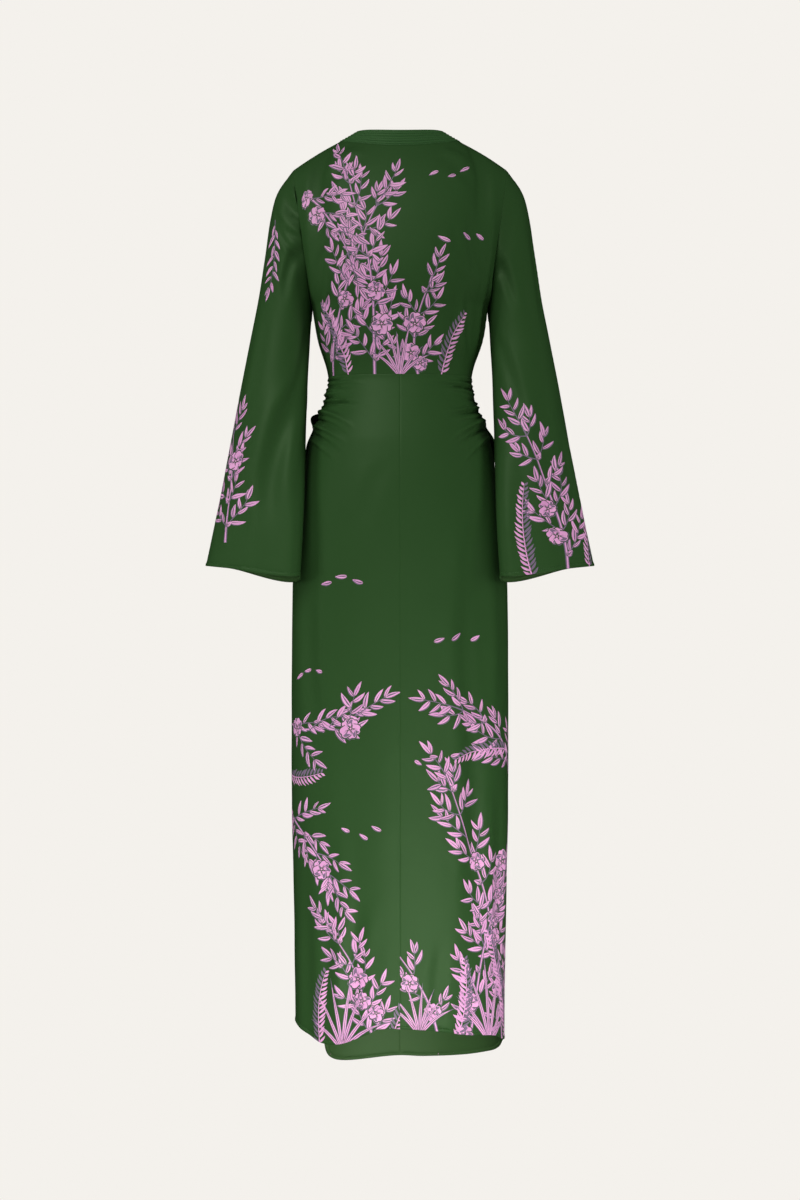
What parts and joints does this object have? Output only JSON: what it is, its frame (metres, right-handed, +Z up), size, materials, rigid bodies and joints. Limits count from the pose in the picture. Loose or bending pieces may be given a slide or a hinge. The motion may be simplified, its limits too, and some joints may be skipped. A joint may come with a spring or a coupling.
{
  "type": "tunic dress, floor length",
  "caption": "Floor-length tunic dress with a V neck, stitched neckband, flared open sleeves and a long skirt gathered at the side seams, held hollow as worn.",
  "frame": {"origin": "midway between the two high shoulder points, where the neckline's seams cross the shoulder seams and the dress rests on the wearer", "axes": "+Z up, the wearer faces -Y, +X is the wearer's left"},
  "size_m": [0.6158, 0.2252, 1.4988],
  "materials": {
    "silk_bodice": "deep green silk crepe, soft sheen, pink botanical print",
    "silk_neckband": "deep green silk crepe, topstitched in parallel rows",
    "silk_sleeve": "deep green silk crepe, soft sheen, pink botanical print",
    "silk_skirt": "deep green silk crepe, soft sheen, pink botanical print"
  },
  "bodies": {
    "root": {"bodice_back": "silk_bodice", "bodice_front_left": "silk_bodice", "bodice_front_right": "silk_bodice", "neckband_left": "silk_neckband", "neckband_right": "silk_neckband", "sleeve_left": "silk_sleeve", "sleeve_right": "silk_sleeve", "skirt_back_left": "silk_skirt", "skirt_back_right": "silk_skirt", "skirt_front_left": "silk_skirt", "skirt_front_right": "silk_skirt"}
  },
  "joints": []
}
